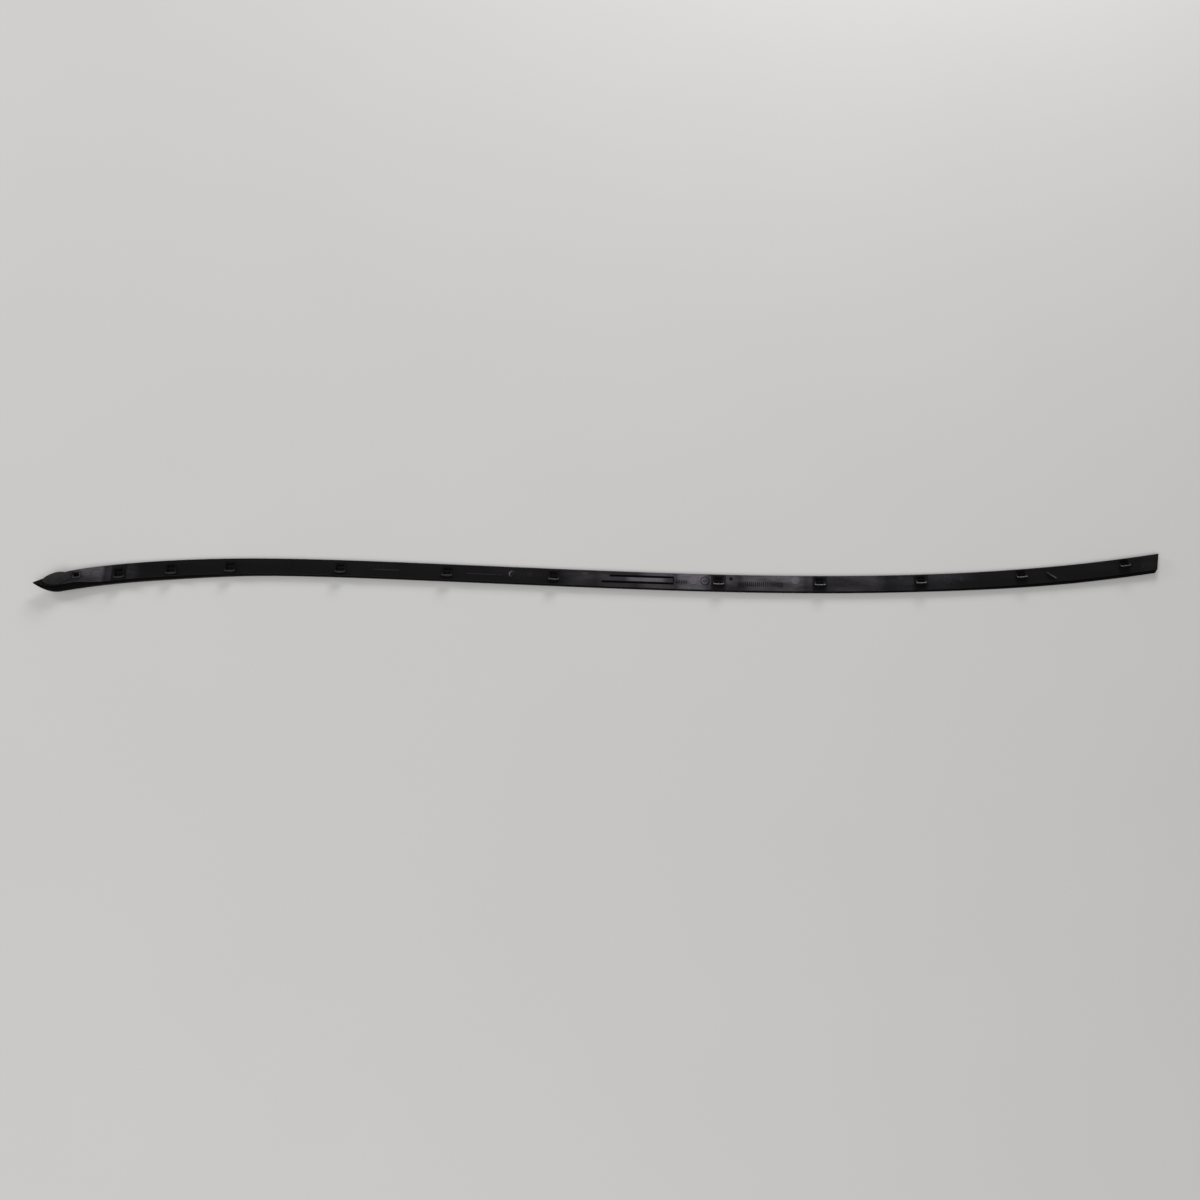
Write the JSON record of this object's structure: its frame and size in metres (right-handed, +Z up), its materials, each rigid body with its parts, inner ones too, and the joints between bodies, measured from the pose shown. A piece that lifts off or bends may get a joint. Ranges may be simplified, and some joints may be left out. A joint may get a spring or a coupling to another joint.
{
  "type": "windshield moulding",
  "caption": "Long slim windshield side moulding, S-curved, with a pointed tip, a cut tail, a foam tip pad and hooked clip pockets along its fixing face.",
  "frame": {"origin": "bottom centre of the strip's box, on the floor that the outer face lies on", "axes": "+X along the strip from the pointed tip to the cut tail; +Y across it towards the vehicle body side; +Z up, out of the fixing face"},
  "size_m": [1.127, 0.0938, 0.0144],
  "materials": {
    "moulding": "satin black, lightly dusty",
    "tip_pad": "matte charcoal foam"
  },
  "bodies": {
    "root": {"moulding": "moulding", "tip_pad": "tip_pad"}
  },
  "joints": []
}
